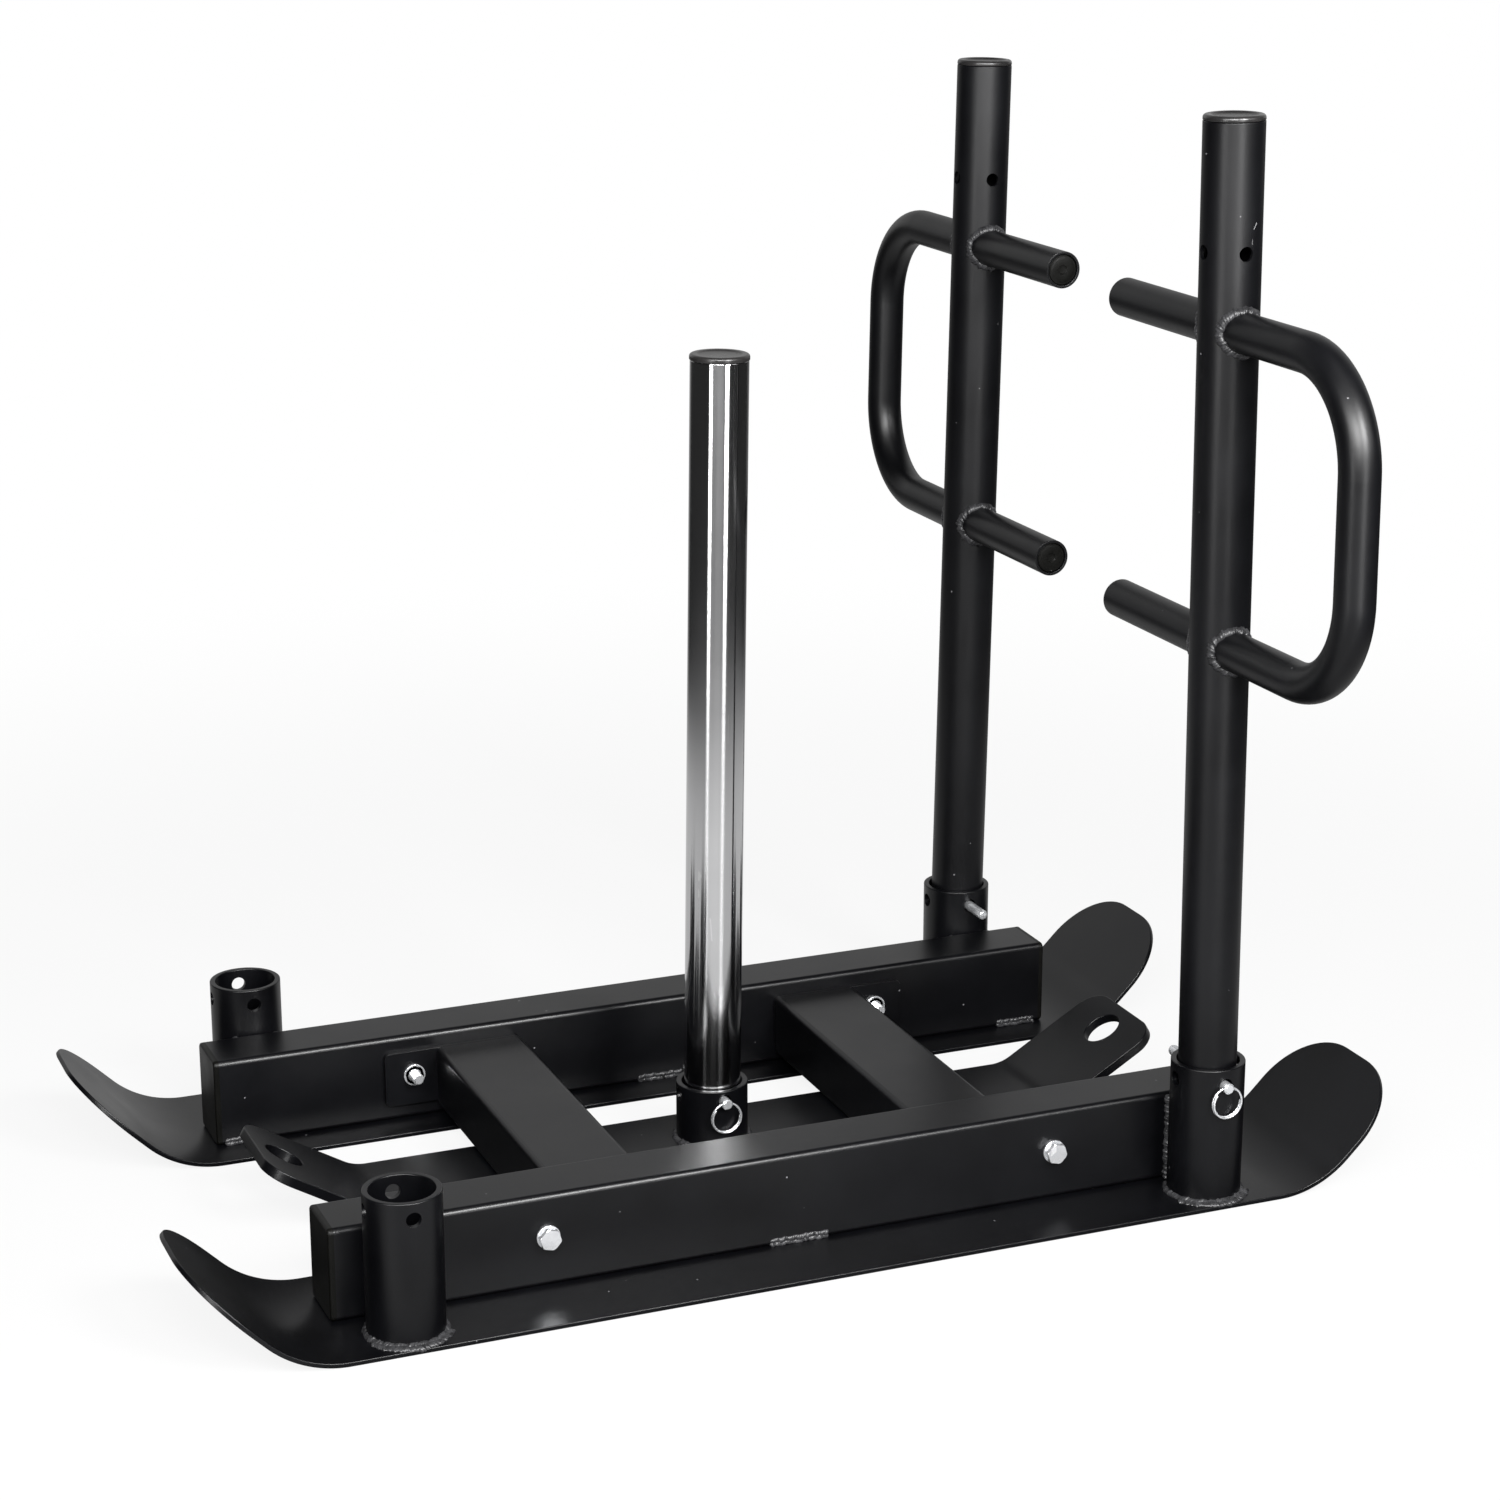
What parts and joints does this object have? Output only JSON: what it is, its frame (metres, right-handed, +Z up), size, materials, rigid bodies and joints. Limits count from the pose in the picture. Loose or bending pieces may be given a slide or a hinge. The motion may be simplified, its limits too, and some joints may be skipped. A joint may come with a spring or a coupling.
{
  "type": "push sled",
  "caption": "Low steel push sled on curled skids, with uprights and bent handles at one end, a chrome weight post, empty front sockets and a tow hook at each end.",
  "frame": {"origin": "on the floor under the middle of the sled, at the bottom centre of its bounding box", "axes": "+X from the empty front sockets to the uprights where the pusher stands, +Y to the far side of the picture (the right hand of a pusher facing -X), +Z up"},
  "size_m": [1.0708, 0.937, 0.9229],
  "materials": {
    "powder_black": "satin powder coat",
    "plastic_black": "matt",
    "chrome": "polished",
    "zinc": "bright zinc plate"
  },
  "bodies": {
    "frame": {"skid_near": "powder_black", "skid_far": "powder_black", "rail_near": "powder_black", "rail_far": "powder_black", "rail_plug_front_near": "plastic_black", "rail_plug_rear_near": "plastic_black", "rail_plug_front_far": "plastic_black", "rail_plug_rear_far": "plastic_black", "socket_front_near": "powder_black", "socket_rear_near": "powder_black", "socket_front_far": "powder_black", "socket_rear_far": "powder_black", "post_socket": "powder_black", "cross_member_front": "powder_black", "cross_member_rear": "powder_black", "flange_plate_front_near": "powder_black", "flange_plate_front_far": "powder_black", "flange_plate_rear_near": "powder_black", "flange_plate_rear_far": "powder_black", "outer_washer_front_near": "zinc", "outer_washer_front_far": "zinc", "outer_washer_rear_near": "zinc", "outer_washer_rear_far": "zinc", "flange_bolt_front_near": "zinc", "flange_bolt_front_far": "zinc", "flange_bolt_rear_near": "zinc", "flange_bolt_rear_far": "zinc", "inner_washer_front_near": "zinc", "inner_washer_front_far": "zinc", "inner_washer_rear_near": "zinc", "inner_washer_rear_far": "zinc", "nut_front_near": "zinc", "nut_front_far": "zinc", "nut_rear_near": "zinc", "nut_rear_far": "zinc", "centre_plate": "powder_black", "upright_near": "powder_black", "upright_far": "powder_black", "upright_cap_near": "plastic_black", "upright_cap_far": "plastic_black", "handle_near": "powder_black", "handle_far": "powder_black", "leg_plug_lower_near": "plastic_black", "leg_plug_upper_near": "plastic_black", "leg_plug_lower_far": "plastic_black", "leg_plug_upper_far": "plastic_black", "weight_post": "chrome", "post_cap": "plastic_black"},
    "near_pin": {"pin_near": "zinc"},
    "far_pin": {"pin_far": "zinc"},
    "post_pin": {"pin_post": "zinc"},
    "near_ring": {"pull_ring_near": "zinc"},
    "far_ring": {"pull_ring_far": "zinc"},
    "post_ring": {"pull_ring_post": "zinc"}
  },
  "joints": [
    {"name": "near_pin_pull", "type": "slide", "parent": "frame", "child": "near_pin", "axis": [0, -1, 0], "range_m": [0, 0.094]},
    {"name": "far_pin_pull", "type": "slide", "parent": "frame", "child": "far_pin", "axis": [0, 1, 0], "range_m": [0, 0.094]},
    {"name": "post_pin_pull", "type": "slide", "parent": "frame", "child": "post_pin", "axis": [0, -1, 0], "range_m": [0, 0.094]},
    {"name": "near_ring_swing", "type": "hinge", "parent": "near_pin", "child": "near_ring", "pos_m": [0.35722, -0.28495, 0.1103], "axis": [-1, 0, 0], "range_deg": [0, 180]},
    {"name": "far_ring_swing", "type": "hinge", "parent": "far_pin", "child": "far_ring", "pos_m": [0.3579, 0.28495, 0.1103], "axis": [1, 0, 0], "range_deg": [0, 180]},
    {"name": "post_ring_swing", "type": "hinge", "parent": "post_pin", "child": "post_ring", "pos_m": [0.00013, -0.03495, 0.0561], "axis": [-1, 0, 0], "range_deg": [0, 180]}
  ]
}
